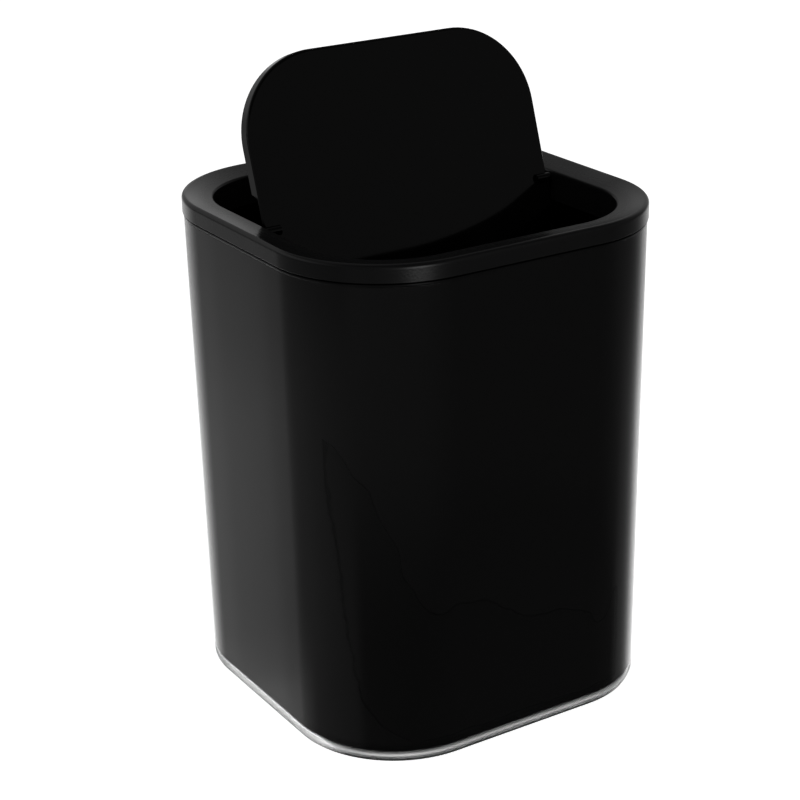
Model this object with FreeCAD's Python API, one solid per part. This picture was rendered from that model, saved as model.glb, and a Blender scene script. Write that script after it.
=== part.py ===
"""Swing-lid bathroom bin: clear shell, black liner, lid ring, swing flap on two pins, four foot pads.

Millimetres, +Z up, origin on the floor under the middle of the bin, front face towards -Y.
The flap is drawn open, as the bin is shown, and turns about an axis along X.
"""
import FreeCAD, Part
import math
import os

Vector = FreeCAD.Vector
X_AXIS = Vector(1, 0, 0)
Z_AXIS = Vector(0, 0, 1)

# Plan outline, shared by every ring and wall of the bin
rim_width = 190.0
rim_corner_radius = 56.4

# Lid ring
rim_top_height = 243.6
rim_depth = 8.2
rim_land = 15.0
land_slope_angle = 10.2
rim_top_thickness = 2.0
rim_outer_round = 1.8
rim_inner_round = 1.2
skirt_wall = 3.0
throat_wall = 2.2
throat_depth = 16.6
plug_wall = 1.8
plug_depth = 10.0
plug_clearance = 0.4
web_thickness = 1.6
web_depth = 5.0
web_setback = 11.6

# Clear shell
rim_overhang = 0.6
shell_draft = 2.6
shell_wall = 2.4
shell_floor = 2.0
shell_edge_round = 0.6
foot_ring_width = 4.0
foot_ring_depth = 1.6

# Black liner
liner_gap = 0.3
liner_floor_gap = 0.4
liner_wall = 1.8
liner_floor = 2.0
liner_inside_round = 3.0
lip_thickness = 1.8
lip_recess = 0.4

# Foot pads
pad_radius = 7.0
pad_setback = 15.0
pad_lift = 0.8
pad_edge_round = 0.3

# Swing flap
flap_gap = 1.4
flap_recess = 5.4
flap_plate = 2.0
flap_depth = 6.65
flap_wall = 2.0
flap_edge_round = 1.5
flap_open_angle = 71.5
notch_half_width = 15.2
notch_flare = 2.8
knuckle_radius = 2.3
knuckle_length = 8.0
knuckle_end_play = 0.65
spine_thickness = 2.0
spine_depth = 3.0
rib_thickness = 1.6
rib_depth = 2.4
rib_setback = 2.6

# Pivot pins and their sockets in the lid ring
pin_radius = 1.25
pin_clearance = 0.05
pin_seat = 7.0
pin_tip_gap = 0.25
pin_chamfer = 0.3
socket_lug_depth = 2.0
socket_lug_half_width = 6.0
socket_neck_width = 2.2

# Cutting tools pass this far beyond the faces they cut
overshoot = 1.0
level_tolerance = 0.01

# The land falls from its rounded outer edge to the mouth. Its plane meets the rim's outer face at land_outer_z
land_slope = math.tan(math.radians(land_slope_angle))
land_stretch = 1 / math.cos(math.radians(land_slope_angle))
land_outer_z = rim_top_height + rim_outer_round * (land_slope + land_stretch - 1)
mouth_edge_z = land_outer_z - rim_land * land_slope

# Heights that follow from the sizes above
skirt_z = rim_top_height - rim_depth
rim_under_z = mouth_edge_z - rim_top_thickness
throat_z = rim_top_height - throat_depth
plug_z = skirt_z - plug_depth
shell_top_z = skirt_z - lip_thickness
shell_base_z = pad_lift
floor_under_z = shell_base_z + foot_ring_depth
floor_top_z = floor_under_z + shell_floor
liner_base_z = floor_top_z + liner_floor_gap
liner_floor_z = liner_base_z + liner_floor
pivot_z = rim_top_height - flap_recess

# Insets, each measured inwards from the rim's outer outline
liner_inset = rim_overhang + shell_wall + liner_gap
mouth_inset = liner_inset + liner_wall
plug_inset = mouth_inset + plug_clearance
flap_inset = rim_land + flap_gap
foot_hollow_inset = rim_overhang + shell_draft + foot_ring_width
rim_half = rim_width / 2
throat_half = rim_half - rim_land
flap_half = rim_half - flap_inset

# Half of the straight run of each side, and what is set back from its ends or from the foot ring's corners
straight_half = rim_half - rim_corner_radius
web_offset = straight_half - web_setback
rib_offset = straight_half - rib_setback
pad_diagonal = rim_corner_radius - foot_hollow_inset - pad_setback - pad_radius
pad_reach = straight_half + pad_diagonal * math.sqrt(0.5)

# Places along the pivot axis, measured from the middle
socket_end = throat_half + throat_wall + socket_lug_depth
knuckle_end = throat_half - knuckle_end_play
pin_inner_end = knuckle_end - pin_seat
pin_outer_end = socket_end - pin_tip_gap


def outline(inset, height):
    """The rim's rounded-square outline, moved inwards by an inset, as a wire at one height."""
    half = rim_half - inset
    corner = straight_half + (rim_corner_radius - inset) * math.sqrt(0.5)
    edges = []
    for quarter in range(4):
        turn = FreeCAD.Rotation(Z_AXIS, 90 * quarter)
        points = [
            Vector(half, -straight_half, height),
            Vector(half, straight_half, height),
            Vector(corner, corner, height),
            Vector(straight_half, half, height),
        ]
        start, bend, on_arc, end = [turn.multVec(point) for point in points]
        edges.append(Part.LineSegment(start, bend).toShape())
        edges.append(Part.Arc(bend, on_arc, end).toShape())
    return Part.Wire(edges)


def block(inset, low, high):
    """A straight rounded-square prism between two heights."""
    return Part.Face(outline(inset, low)).extrude(Vector(0, 0, high - low))


def tapered_block(low_inset, low, high_inset, high):
    """A rounded-square prism whose inset changes evenly from its low end to its high end."""
    return Part.makeLoft([outline(low_inset, low), outline(high_inset, high)], True, True)


def ring(outer_inset, inner_inset, low, high):
    """A straight rounded-square wall between two insets."""
    hole = block(inner_inset, low - overshoot, high + overshoot)
    return block(outer_inset, low, high).cut(hole)


def draft_at(height):
    """How much narrower than its top the shell is, on each side, at a height."""
    return shell_draft * (shell_top_z - height) / (shell_top_z - shell_base_z)


def drafted_block(top_inset, low, high):
    """A block that narrows downwards with the shell. Its inset is stated at the shell's top."""
    return tapered_block(top_inset + draft_at(low), low, top_inset + draft_at(high), high)


def box(x_range, y_range, z_range):
    """A box from three pairs of limits."""
    low = Vector(x_range[0], y_range[0], z_range[0])
    return Part.makeBox(x_range[1] - x_range[0], y_range[1] - y_range[0], z_range[1] - z_range[0], low)


def rod(radius, start_x, end_x):
    """A round rod along the flap's axis between two places on it."""
    return Part.makeCylinder(radius, end_x - start_x, Vector(start_x, 0, pivot_z), X_AXIS)


def level_edges(solid, height, reach):
    """The edges that lie flat at a height and stay within a reach of the bin's axis along X and Y."""
    found = []
    for edge in solid.Edges:
        limits = edge.BoundBox
        flat = abs(limits.ZMin - height) < level_tolerance and abs(limits.ZMax - height) < level_tolerance
        widest = max(-limits.XMin, limits.XMax, -limits.YMin, limits.YMax)
        if flat and widest < reach + level_tolerance:
            found.append(edge)
    return found


def mirrored(solid):
    """The same piece on the other end of the flap's axis."""
    return solid.mirror(Vector(0, 0, 0), X_AXIS)


def opened(solid):
    """A piece of the flap, turned from closed to the angle that the bin is shown at."""
    turned = solid.copy()
    turned.rotate(Vector(0, 0, pivot_z), X_AXIS, flap_open_angle)
    return turned


def make_outer_shell():
    """The clear bucket: drafted wall, raised floor and the foot ring below it."""
    shell = drafted_block(rim_overhang, shell_base_z, shell_top_z)
    shell = shell.makeFillet(shell_edge_round, level_edges(shell, shell_base_z, rim_half))
    shell = shell.cut(drafted_block(rim_overhang + shell_wall, floor_top_z, shell_top_z + overshoot))
    return shell.cut(block(foot_hollow_inset, shell_base_z - overshoot, floor_under_z))


def make_inner_liner():
    """The black bucket that hangs in the shell by its lip."""
    bucket = drafted_block(liner_inset, liner_base_z, shell_top_z)
    lip = block(lip_recess, shell_top_z, skirt_z)
    hollow = drafted_block(mouth_inset, liner_floor_z, skirt_z + overshoot)
    hollow = hollow.makeFillet(liner_inside_round, level_edges(hollow, liner_floor_z, rim_half))
    return bucket.fuse(lip).removeSplitter().cut(hollow)


def make_foot_pad(side_x, side_y):
    """One round pad under the shell's floor."""
    pad = Part.makeCylinder(pad_radius, floor_under_z, Vector(side_x * pad_reach, side_y * pad_reach, 0))
    return pad.makeFillet(pad_edge_round, level_edges(pad, 0, rim_half))


def make_webs():
    """The short stiffening webs between the throat and the plug wall, two on each side."""
    inner = throat_half + throat_wall / 2
    outer = rim_half - plug_inset - plug_wall / 2
    webs = []
    for quarter in range(4):
        for side in (-1, 1):
            middle = side * web_offset
            y_range = (middle - web_thickness / 2, middle + web_thickness / 2)
            web = box((inner, outer), y_range, (rim_under_z - web_depth, rim_under_z))
            web.rotate(Vector(0, 0, 0), Z_AXIS, 90 * quarter)
            webs.append(web)
    return webs


def make_socket_lug():
    """The thicker place behind the throat wall that takes the pin on the right."""
    x_range = (throat_half + throat_wall / 2, socket_end)
    return box(x_range, (-socket_lug_half_width, socket_lug_half_width), (throat_z, rim_under_z))


def make_socket_cut():
    """The pin's bore on the right, with the narrower slot below it that the pin snaps up through."""
    x_range = (throat_half - overshoot, socket_end + overshoot)
    bore = rod(pin_radius + pin_clearance, *x_range)
    half_neck = socket_neck_width / 2
    return bore.fuse(box(x_range, (-half_neck, half_neck), (throat_z - overshoot, pivot_z)))


def make_land_cut():
    """What is taken off above the sloping land, from inside the mouth to beyond the rim's outer face."""
    low = mouth_edge_z - overshoot * land_slope
    return tapered_block(rim_land + overshoot, low, -overshoot / land_slope, land_outer_z + overshoot)


def make_lid_frame():
    """The lid ring: sloping land, outer skirt, plug wall inside the liner's mouth and throat round the flap."""
    body = block(0, skirt_z, rim_top_height + overshoot).cut(make_land_cut())
    body = body.makeFillet(rim_outer_round, level_edges(body, land_outer_z, rim_half))
    body = body.cut(block(skirt_wall, skirt_z - overshoot, rim_under_z))
    plug = ring(plug_inset, plug_inset + plug_wall, plug_z, rim_under_z)
    throat = ring(rim_land - throat_wall, rim_land, throat_z, rim_under_z)
    lug = make_socket_lug()
    body = body.fuse([plug, throat, lug, mirrored(lug)] + make_webs())
    body = body.cut(block(rim_land, throat_z - overshoot, rim_top_height + overshoot)).removeSplitter()
    body = body.makeFillet(rim_inner_round, level_edges(body, mouth_edge_z, throat_half))
    cut = make_socket_cut()
    return body.cut([cut, mirrored(cut)])


def make_notch():
    """The gap in the flap's edge beside each pivot, wider towards the open side, across the whole flap."""
    top = pivot_z - flap_plate
    bottom = pivot_z - flap_depth - overshoot
    slope = notch_flare / (flap_depth - flap_plate)
    wide = notch_half_width + slope * (top - bottom)
    reach = flap_half + overshoot
    corners = [
        Vector(-reach, -notch_half_width, top),
        Vector(-reach, notch_half_width, top),
        Vector(-reach, wide, bottom),
        Vector(-reach, -wide, bottom),
    ]
    return Part.Face(Part.makePolygon(corners + corners[:1])).extrude(Vector(2 * reach, 0, 0))


def make_flap_panel():
    """The flap: a plate with a turned-down edge, underside ribs and a knuckle for each pin."""
    under = pivot_z - flap_plate
    tray = block(flap_inset, pivot_z - flap_depth, pivot_z)
    tray = tray.makeFillet(flap_edge_round, level_edges(tray, pivot_z, rim_half))
    tray = tray.cut(block(flap_inset + flap_wall, pivot_z - flap_depth - overshoot, under))
    tray = tray.cut(make_notch())
    inside = flap_half - flap_wall / 2
    pieces = [box((-inside, inside), (-spine_thickness / 2, spine_thickness / 2), (under - spine_depth, under))]
    for side in (-1, 1):
        x_range = (side * rib_offset - rib_thickness / 2, side * rib_offset + rib_thickness / 2)
        pieces.append(box(x_range, (-inside, inside), (under - rib_depth, under)))
    knuckle = rod(knuckle_radius, knuckle_end - knuckle_length, knuckle_end)
    bore = rod(pin_radius, pin_inner_end, knuckle_end + overshoot)
    tray = tray.fuse(pieces + [knuckle, mirrored(knuckle)]).removeSplitter()
    return opened(tray.cut([bore, mirrored(bore)]))


def make_pivot_pin():
    """The pin on the right: pressed into the flap's knuckle, running in the lid ring's socket."""
    pin = rod(pin_radius, pin_inner_end, pin_outer_end)
    ends = [edge for edge in pin.Edges if edge.BoundBox.XLength < level_tolerance]
    return pin.makeChamfer(pin_chamfer, ends)


def make_all_pieces():
    """Every piece of the bin by its name."""
    pin = opened(make_pivot_pin())
    pieces = {
        "outer_shell": make_outer_shell(),
        "inner_liner": make_inner_liner(),
        "lid_frame": make_lid_frame(),
        "flap_panel": make_flap_panel(),
        "pivot_pin_right": pin,
        "pivot_pin_left": mirrored(pin),
    }
    for front_name, side_y in (("front", -1), ("back", 1)):
        for side_name, side_x in (("left", -1), ("right", 1)):
            pieces[f"foot_pad_{front_name}_{side_name}"] = make_foot_pad(side_x, side_y)
    return pieces


def main():
    """Builds every piece, prints what it measures and writes it to its own file."""
    os.makedirs("parts", exist_ok=True)
    for name, shape in make_all_pieces().items():
        solids = shape.Solids
        print(name, "solids", len(solids), "valid", shape.isValid(), "volume", round(shape.Volume, 1))
        solids[0].exportStep(os.path.join("parts", name + ".step"))


if __name__ == "__main__":
    main()
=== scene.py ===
"""Looks of a swing-lid bathroom bin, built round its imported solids.

Sizes are millimetres in the frame of the solids: +Z up, the front face towards -Y, the floor at height 0.
"""
import logging
import math
from abc import ABC, abstractmethod
from collections.abc import Sequence
from dataclasses import dataclass, field
from enum import Enum

import bmesh
import bpy
import numpy as np
from mathutils import Matrix, Vector
from numpy.typing import NDArray


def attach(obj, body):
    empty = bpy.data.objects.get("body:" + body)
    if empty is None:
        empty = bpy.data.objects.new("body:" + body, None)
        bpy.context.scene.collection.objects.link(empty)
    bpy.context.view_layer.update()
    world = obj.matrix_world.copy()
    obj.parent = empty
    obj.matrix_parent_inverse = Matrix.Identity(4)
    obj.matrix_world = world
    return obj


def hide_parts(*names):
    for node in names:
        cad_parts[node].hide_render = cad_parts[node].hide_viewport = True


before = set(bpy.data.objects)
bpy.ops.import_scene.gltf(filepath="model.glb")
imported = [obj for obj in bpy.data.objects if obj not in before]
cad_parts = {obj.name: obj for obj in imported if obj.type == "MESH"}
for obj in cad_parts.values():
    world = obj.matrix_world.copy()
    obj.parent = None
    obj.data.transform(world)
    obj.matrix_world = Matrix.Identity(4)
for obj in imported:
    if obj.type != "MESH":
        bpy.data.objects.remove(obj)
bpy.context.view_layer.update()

Floats = NDArray[np.float64]
Colour = tuple[float, float, float]
Curve = tuple[tuple[float, float], ...]
Socket = bpy.types.NodeSocket
Value = float | Sequence[float] | Socket

MM = 0.001
WELD = 1e-7
log = logging.getLogger("bin")


class Body(Enum):
    """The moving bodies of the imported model."""

    SHELL = "shell"
    LINER = "liner"
    LID = "lid"
    FLAP = "flap"


class Slot(Enum):
    """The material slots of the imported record."""

    ACRYLIC = "clear_acrylic"
    LINER = "liner_black"
    LID = "lid_satin_black"
    FLAP = "flap_smooth_black"
    PIN = "pin_steel"
    PAD = "pad_rubber"


class Effect(Enum):
    """Surface effects that several finishes share, each a shader node group."""

    GRAIN = "moulded_grain"
    MARKS = "handling_marks"
    RIPPLE = "moulding_ripple"


# Shapes


@dataclass(frozen=True)
class Outline:
    """A rounded rectangle in plan: four straight sides joined by quarter circles.

    Attributes:
        half_x: half of its width along X.
        half_y: half of its width along Y.
        radius: radius of its corners.
        steps: divisions of each quarter circle.
        stations: places on each straight side, as shares of its length.
    """

    half_x: float
    half_y: float
    radius: float
    steps: int = 40
    stations: tuple[float, ...] = (0.25, 0.5, 0.75)

    def loop(self) -> tuple[Floats, Floats]:
        """Works out the outline, counter-clockwise from the +X side's upper end.

        A corner point is the corner's centre plus the radius times the direction (cos t, sin t), and that
        direction is its normal. A side point lies between the ends of two corners and keeps their normal.

        Returns:
            The points and the outward normals, one row each.
        """
        turn = np.arange(4)[:, None] * (np.pi / 2) + np.linspace(0, np.pi / 2, self.steps + 1)
        normal = np.stack([np.cos(turn), np.sin(turn)], axis=-1)
        side = np.array([(1, 1), (-1, 1), (-1, -1), (1, -1)], float)
        centre = side * (self.half_x - self.radius, self.half_y - self.radius)
        arc = centre[:, None, :] + self.radius * normal
        share = np.array(self.stations)[None, :, None]
        run = arc[:, -1:, :] * (1 - share) + np.roll(arc[:, :1, :], -1, axis=0) * share
        run_normal = np.broadcast_to(normal[:, -1:, :], run.shape)
        points = np.concatenate([arc, run], axis=1).reshape(-1, 2)
        return points, np.concatenate([normal, run_normal], axis=1).reshape(-1, 2)


RIM = Outline(half_x=95.0, half_y=95.0, radius=56.4)


@dataclass(frozen=True)
class Bend:
    """One corner of a profile.

    Attributes:
        inset: distance in from the outline.
        height: height above the floor.
        round: radius that the corner is rounded with.
        share: 1 on the outline, 0 where the profile has shrunk to the axis.
    """

    inset: float
    height: float
    round: float = 0.0
    share: float = 1.0


def rounded_profile(
    bends: Sequence[Bend], closed: bool = False, steps: int = 6, beside: float = 0.2
) -> Floats:
    """Turns the corners of a profile into its points.

    A round of radius r at a corner of angle a touches both runs r / tan(a / 2) from the corner. Its points
    turn evenly about its centre from one touching point to the other. One more point stands on each run
    close to the round, so that the flat faces beside it stay flat in shading.

    Args:
        bends: the corners in order.
        closed: whether the last corner runs back to the first.
        steps: divisions of each round.
        beside: how close the points beside a round stand, as a share of its radius.

    Returns:
        One row of inset, height and share for each point.
    """
    corner = np.array([(bend.inset, bend.height) for bend in bends])
    before = np.roll(corner, 1, axis=0) - corner
    after = np.roll(corner, -1, axis=0) - corner
    rows = []
    for i, bend in enumerate(bends):
        if bend.round <= 0 or (not closed and i in (0, len(bends) - 1)):
            rows.append(np.array([[*corner[i], bend.share]]))
            continue
        back = before[i] / np.linalg.norm(before[i])
        ahead = after[i] / np.linalg.norm(after[i])
        half = math.acos(float(np.clip(back @ ahead, -1, 1))) / 2
        touch = bend.round / math.tan(half)
        bisector = (back + ahead) / np.linalg.norm(back + ahead)
        centre = corner[i] + bisector * bend.round / math.sin(half)
        start = corner[i] + back * touch - centre
        end = corner[i] + ahead * touch - centre
        turn = math.pi - 2 * half
        t = np.linspace(0, 1, steps + 1)[:, None]
        arc = centre + (np.sin((1 - t) * turn) * start + np.sin(t * turn) * end) / math.sin(turn)
        gap = beside * bend.round
        points = np.concatenate([arc[:1] + back * gap, arc, arc[-1:] + ahead * gap])
        rows.append(np.column_stack([points, np.full(len(points), bend.share)]))
    return np.concatenate(rows)


def carried(outline: Outline, profile: Floats) -> Floats:
    """Carries a profile round an outline.

    A point is share times (the outline's point minus inset times its normal), at the profile's height.

    Args:
        outline: the path in plan.
        profile: rows of inset, height and share.

    Returns:
        A grid of points: round the outline, along the profile, xyz.
    """
    edge, normal = outline.loop()
    inset, height, share = profile.T
    plan = share[None, :, None] * (edge[:, None, :] - inset[None, :, None] * normal[:, None, :])
    level = np.broadcast_to(height[None, :, None], (*plan.shape[:2], 1))
    return np.concatenate([plan, level], axis=2)


def grid_faces(rows: int, columns: int, closed: bool) -> NDArray[np.int64]:
    """Numbers the quads of a grid that always closes round its rows.

    Args:
        rows: points round the outline.
        columns: points along the profile.
        closed: whether the profile closes too.

    Returns:
        One row of four point numbers for each quad.
    """
    index = np.arange(rows * columns).reshape(rows, columns)
    across = np.roll(index, -1, axis=0)
    ahead = np.roll(index, -1, axis=1)
    corner = np.roll(across, -1, axis=1)
    last = columns if closed else columns - 1
    return np.stack([index, across, corner, ahead], axis=-1)[:, :last].reshape(-1, 4)


def new_piece(name: str, points: Floats, closed: bool = False) -> bpy.types.Object:
    """Makes a smooth mesh object from a grid.

    Args:
        name: the piece's name.
        points: the grid in millimetres.
        closed: whether the grid closes along the profile; otherwise it ends on the axis or in an open edge.

    Returns:
        The object, at the origin, with its place in its mesh.
    """
    mesh = bpy.data.meshes.new(name)
    faces = grid_faces(*points.shape[:2], closed)
    mesh.from_pydata((points.reshape(-1, 3) * MM).tolist(), [], faces.tolist())
    work = bmesh.new()
    work.from_mesh(mesh)
    bmesh.ops.remove_doubles(work, verts=work.verts, dist=WELD)
    bmesh.ops.recalc_face_normals(work, faces=work.faces)
    work.to_mesh(mesh)
    work.free()
    mesh.shade_smooth()
    piece = bpy.data.objects.new(name, mesh)
    bpy.context.scene.collection.objects.link(piece)
    return piece


# Shader nodes


@dataclass(frozen=True)
class Ramp:
    """A smooth change of one value over another.

    Attributes:
        low: where the change starts.
        high: where it ends.
        first: the value up to its start.
        last: the value from its end on.
    """

    low: float
    high: float
    first: float = 0.0
    last: float = 1.0


@dataclass(frozen=True)
class FrontCorners:
    """Where a value changes round the bin's two front corners.

    Attributes:
        front: depth up to which a place belongs to the front face, along Y in metres.
        side: depth from which it belongs to the sides, in metres.
        lean: how much earlier the change comes on the right, as a share of the distance across.
    """

    front: float = -0.082
    side: float = -0.066
    lean: float = 0.18


FRONT_CORNERS = FrontCorners()


class Wiring:
    """Adds nodes to a node tree and joins them.

    Attributes:
        tree: the node tree.
        mix_colours: numbers of a mix node's two colour inputs, whose names other inputs share.
        mix_result: number of its colour output.
    """

    mix_colours: tuple[int, int] = (6, 7)
    mix_result: int = 2

    def __init__(self, tree: bpy.types.NodeTree) -> None:
        """Keeps the tree, emptied of what a new one comes with."""
        self.tree = tree
        tree.nodes.clear()

    def add(
        self, kind: str, inputs: dict[str | int, Value] | None = None, **settings: object
    ) -> bpy.types.Node:
        """Adds a node.

        Args:
            kind: the node's type.
            inputs: what each input takes: a number, a colour or another node's output.
            settings: the node's own properties.

        Returns:
            The node.
        """
        node = self.tree.nodes.new(kind)
        for name, value in settings.items():
            setattr(node, name, value)
        for key, value in (inputs or {}).items():
            if isinstance(value, Socket):
                self.tree.links.new(value, node.inputs[key])
            else:
                node.inputs[key].default_value = value
        return node

    def join(self, value: Socket, shader: bpy.types.Node, name: str) -> None:
        """Links a value to a shader's input."""
        self.tree.links.new(value, shader.inputs[name])

    @staticmethod
    def given(shader: bpy.types.Node, name: str) -> Socket:
        """Returns what a shader's input takes so far."""
        return shader.inputs[name].links[0].from_socket

    def math(self, operation: str, first: Value, second: Value = 0.0, clamp: bool = False) -> Socket:
        """Adds a calculation.

        Args:
            operation: what it works out.
            first: its first number.
            second: its second number, where it takes two.
            clamp: whether the result is kept between 0 and 1.

        Returns:
            The result.
        """
        inputs = {0: first, 1: second}
        return self.add("ShaderNodeMath", inputs, operation=operation, use_clamp=clamp).outputs[0]

    def product(self, *factors: Value) -> Socket:
        """Multiplies values.

        Args:
            factors: two values or more, in order.

        Returns:
            Their product.
        """
        result = factors[0]
        for factor in factors[1:]:
            result = self.math("MULTIPLY", result, factor)
        return result

    def least(self, *values: Value) -> Socket:
        """Picks the least of some values.

        Args:
            values: two values or more.

        Returns:
            The least of them.
        """
        result = values[0]
        for value in values[1:]:
            result = self.math("MINIMUM", result, value)
        return result

    def vector(self, operation: str, first: Value, second: Value = (0.0, 0.0, 0.0)) -> Socket:
        """Adds a calculation with vectors.

        Args:
            operation: what it works out.
            first: its first vector.
            second: its second vector, where it takes two.

        Returns:
            The result: a number for a length or a dot product, else a vector.
        """
        node = self.add("ShaderNodeVectorMath", {0: first, 1: second}, operation=operation)
        return node.outputs["Value" if operation in ("LENGTH", "DOT_PRODUCT") else "Vector"]

    def ranged(self, value: Value, low: float, high: float, first: Value, last: Value) -> Socket:
        """Changes smoothly from one value to another.

        Args:
            value: what the change follows.
            low: where it starts.
            high: where it ends.
            first: the value up to its start.
            last: the value from its end on.

        Returns:
            The value in between.
        """
        inputs = {"Value": value, "From Min": low, "From Max": high, "To Min": first, "To Max": last}
        return self.add("ShaderNodeMapRange", inputs, interpolation_type="SMOOTHSTEP").outputs["Result"]

    def ramp(self, value: Value, ramp: Ramp) -> Socket:
        """Returns a ramp's height at a value."""
        return self.ranged(value, ramp.low, ramp.high, ramp.first, ramp.last)

    def noise(self, vector: Value, scale: Value, detail: float, roughness: float = 0.5) -> Socket:
        """Adds soft noise.

        Args:
            vector: the place that it is read at.
            scale: how fine it is.
            detail: how many finer layers it has.
            roughness: how strong these are.

        Returns:
            Its value, about 0.5 in the middle.
        """
        inputs = {"Vector": vector, "Scale": scale, "Detail": detail, "Roughness": roughness}
        return self.add("ShaderNodeTexNoise", inputs).outputs["Fac"]

    def curve(self, value: Value, points: Curve) -> Socket:
        """Adds a drawn curve, level beyond its ends.

        Args:
            value: what it is read at.
            points: its points in order.

        Returns:
            The curve's height.
        """
        x, y = np.array(points, float).T
        ends = {"Value": value, "From Min": x[0], "From Max": x[-1]}
        along = self.add("ShaderNodeMapRange", ends).outputs["Result"]
        node = self.add("ShaderNodeFloatCurve", {"Value": along})
        drawn = node.mapping.curves[0].points
        while len(drawn) < len(points):
            drawn.new(0.0, 0.0)
        places = np.column_stack([(x - x[0]) / (x[-1] - x[0]), (y - y.min()) / np.ptp(y)])
        for spot, place in zip(drawn, places):
            spot.location = place
            spot.handle_type = "AUTO_CLAMPED"
        node.mapping.update()
        heights = {"Value": node.outputs["Value"], "To Min": y.min(), "To Max": y.max()}
        return self.add("ShaderNodeMapRange", heights).outputs["Result"]

    def position(self) -> Socket:
        """Returns the place on the piece, in metres."""
        return self.add("ShaderNodeTexCoord").outputs["Object"]

    def millimetres(self) -> Socket:
        """Returns the place on the piece, in millimetres."""
        return self.vector("DIVIDE", self.position(), (MM, MM, MM))

    def axes(self, vector: Value) -> bpy.types.NodeOutputs:
        """Returns a vector's X, Y and Z."""
        return self.add("ShaderNodeSeparateXYZ", {"Vector": vector}).outputs

    def round_front(self, front: Value, side: Value, corners: FrontCorners = FRONT_CORNERS) -> Socket:
        """Adds a value that changes round the bin's two front corners.

        Args:
            front: the value on the front face.
            side: the value on the sides.
            corners: where it changes.

        Returns:
            The value at the place on the piece.
        """
        axes = self.axes(self.position())
        depth = self.math("ADD", axes["Y"], self.product(axes["X"], corners.lean))
        return self.ranged(depth, corners.front, corners.side, front, side)

    def blend(self, mask: Value, first: Colour, second: Colour) -> Socket:
        """Mixes two colours.

        Args:
            mask: how much of the second colour shows.
            first: the colour where the mask is 0.
            second: the colour where it is 1.

        Returns:
            The mixed colour.
        """
        node = self.add("ShaderNodeMix", {"Factor": mask}, data_type="RGBA")
        for number, colour in zip(self.mix_colours, (first, second)):
            node.inputs[number].default_value = (*colour, 1.0)
        return node.outputs[self.mix_result]

    def mix(self, mask: Value, first: Value, second: Value) -> Socket:
        """Returns the first value where a mask is 0, the second where it is 1."""
        return self.add("ShaderNodeMix", {"Factor": mask, "A": first, "B": second}).outputs["Result"]


def new_material(name: str) -> tuple[bpy.types.Material, Wiring]:
    """Starts a material.

    Args:
        name: its name.

    Returns:
        The material and the wiring of its empty tree.
    """
    made = bpy.data.materials.new(name)
    made.use_nodes = True
    return made, Wiring(made.node_tree)


@dataclass(frozen=True)
class EffectSizes:
    """What the shared effects are made of.

    Attributes:
        cloud_scale: how much finer the grain's cloud is than its pits.
        cloud_detail: how many finer layers the cloud has.
        cloud_share: the cloud's share of the grain's height.
        ripple_detail: how many finer layers the ripple has.
        ripple_roughness: how strong these are.
        smear_detail: how many finer layers the smears have.
        smear_roughness: how strong these are.
        smear: how strong smears are over their noise.
        speck_scale: how much finer specks are than smears.
        speck_detail: how many finer layers the specks have.
        speck: where noise turns into specks.
        speck_share: how strong specks are.
    """

    cloud_scale: float = 2.3
    cloud_detail: float = 3.0
    cloud_share: float = 0.4
    ripple_detail: float = 1.0
    ripple_roughness: float = 0.3
    smear_detail: float = 4.0
    smear_roughness: float = 0.6
    smear: Ramp = Ramp(0.52, 0.74, last=0.7)
    speck_scale: float = 26.0
    speck_detail: float = 2.0
    speck: Ramp = Ramp(0.66, 0.78)
    speck_share: float = 0.3


def effect_group(effect: Effect, sizes: EffectSizes = EffectSizes()) -> bpy.types.NodeTree:
    """Builds a shared effect once.

    Args:
        effect: which effect.
        sizes: what it is made of.

    Returns:
        Its node group, with a Scale input and one output: Height for grain and ripple, Mask for marks.
    """
    known = bpy.data.node_groups.get(effect.value)
    if known is not None:
        return known
    tree = bpy.data.node_groups.new(effect.value, "ShaderNodeTree")
    output = "Mask" if effect is Effect.MARKS else "Height"
    tree.interface.new_socket(name="Scale", in_out="INPUT", socket_type="NodeSocketFloat")
    tree.interface.new_socket(name=output, in_out="OUTPUT", socket_type="NodeSocketFloat")
    wiring = Wiring(tree)
    scale = wiring.add("NodeGroupInput").outputs["Scale"]
    place = wiring.position()
    if effect is Effect.GRAIN:
        pits = wiring.add("ShaderNodeTexVoronoi", {"Vector": place, "Scale": scale}).outputs["Distance"]
        cloud = wiring.noise(place, wiring.product(scale, sizes.cloud_scale), sizes.cloud_detail)
        deep = wiring.product(pits, 1 - sizes.cloud_share)
        result = wiring.math("ADD", deep, wiring.product(cloud, sizes.cloud_share))
    elif effect is Effect.RIPPLE:
        result = wiring.noise(place, scale, sizes.ripple_detail, sizes.ripple_roughness)
    else:
        cloud = wiring.noise(place, scale, sizes.smear_detail, sizes.smear_roughness)
        dust = wiring.noise(place, wiring.product(scale, sizes.speck_scale), sizes.speck_detail)
        speck = wiring.product(wiring.ramp(dust, sizes.speck), sizes.speck_share)
        result = wiring.math("ADD", wiring.ramp(cloud, sizes.smear), speck, clamp=True)
    wiring.add("NodeGroupOutput", {output: result})
    return tree


# Finishes


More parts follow.
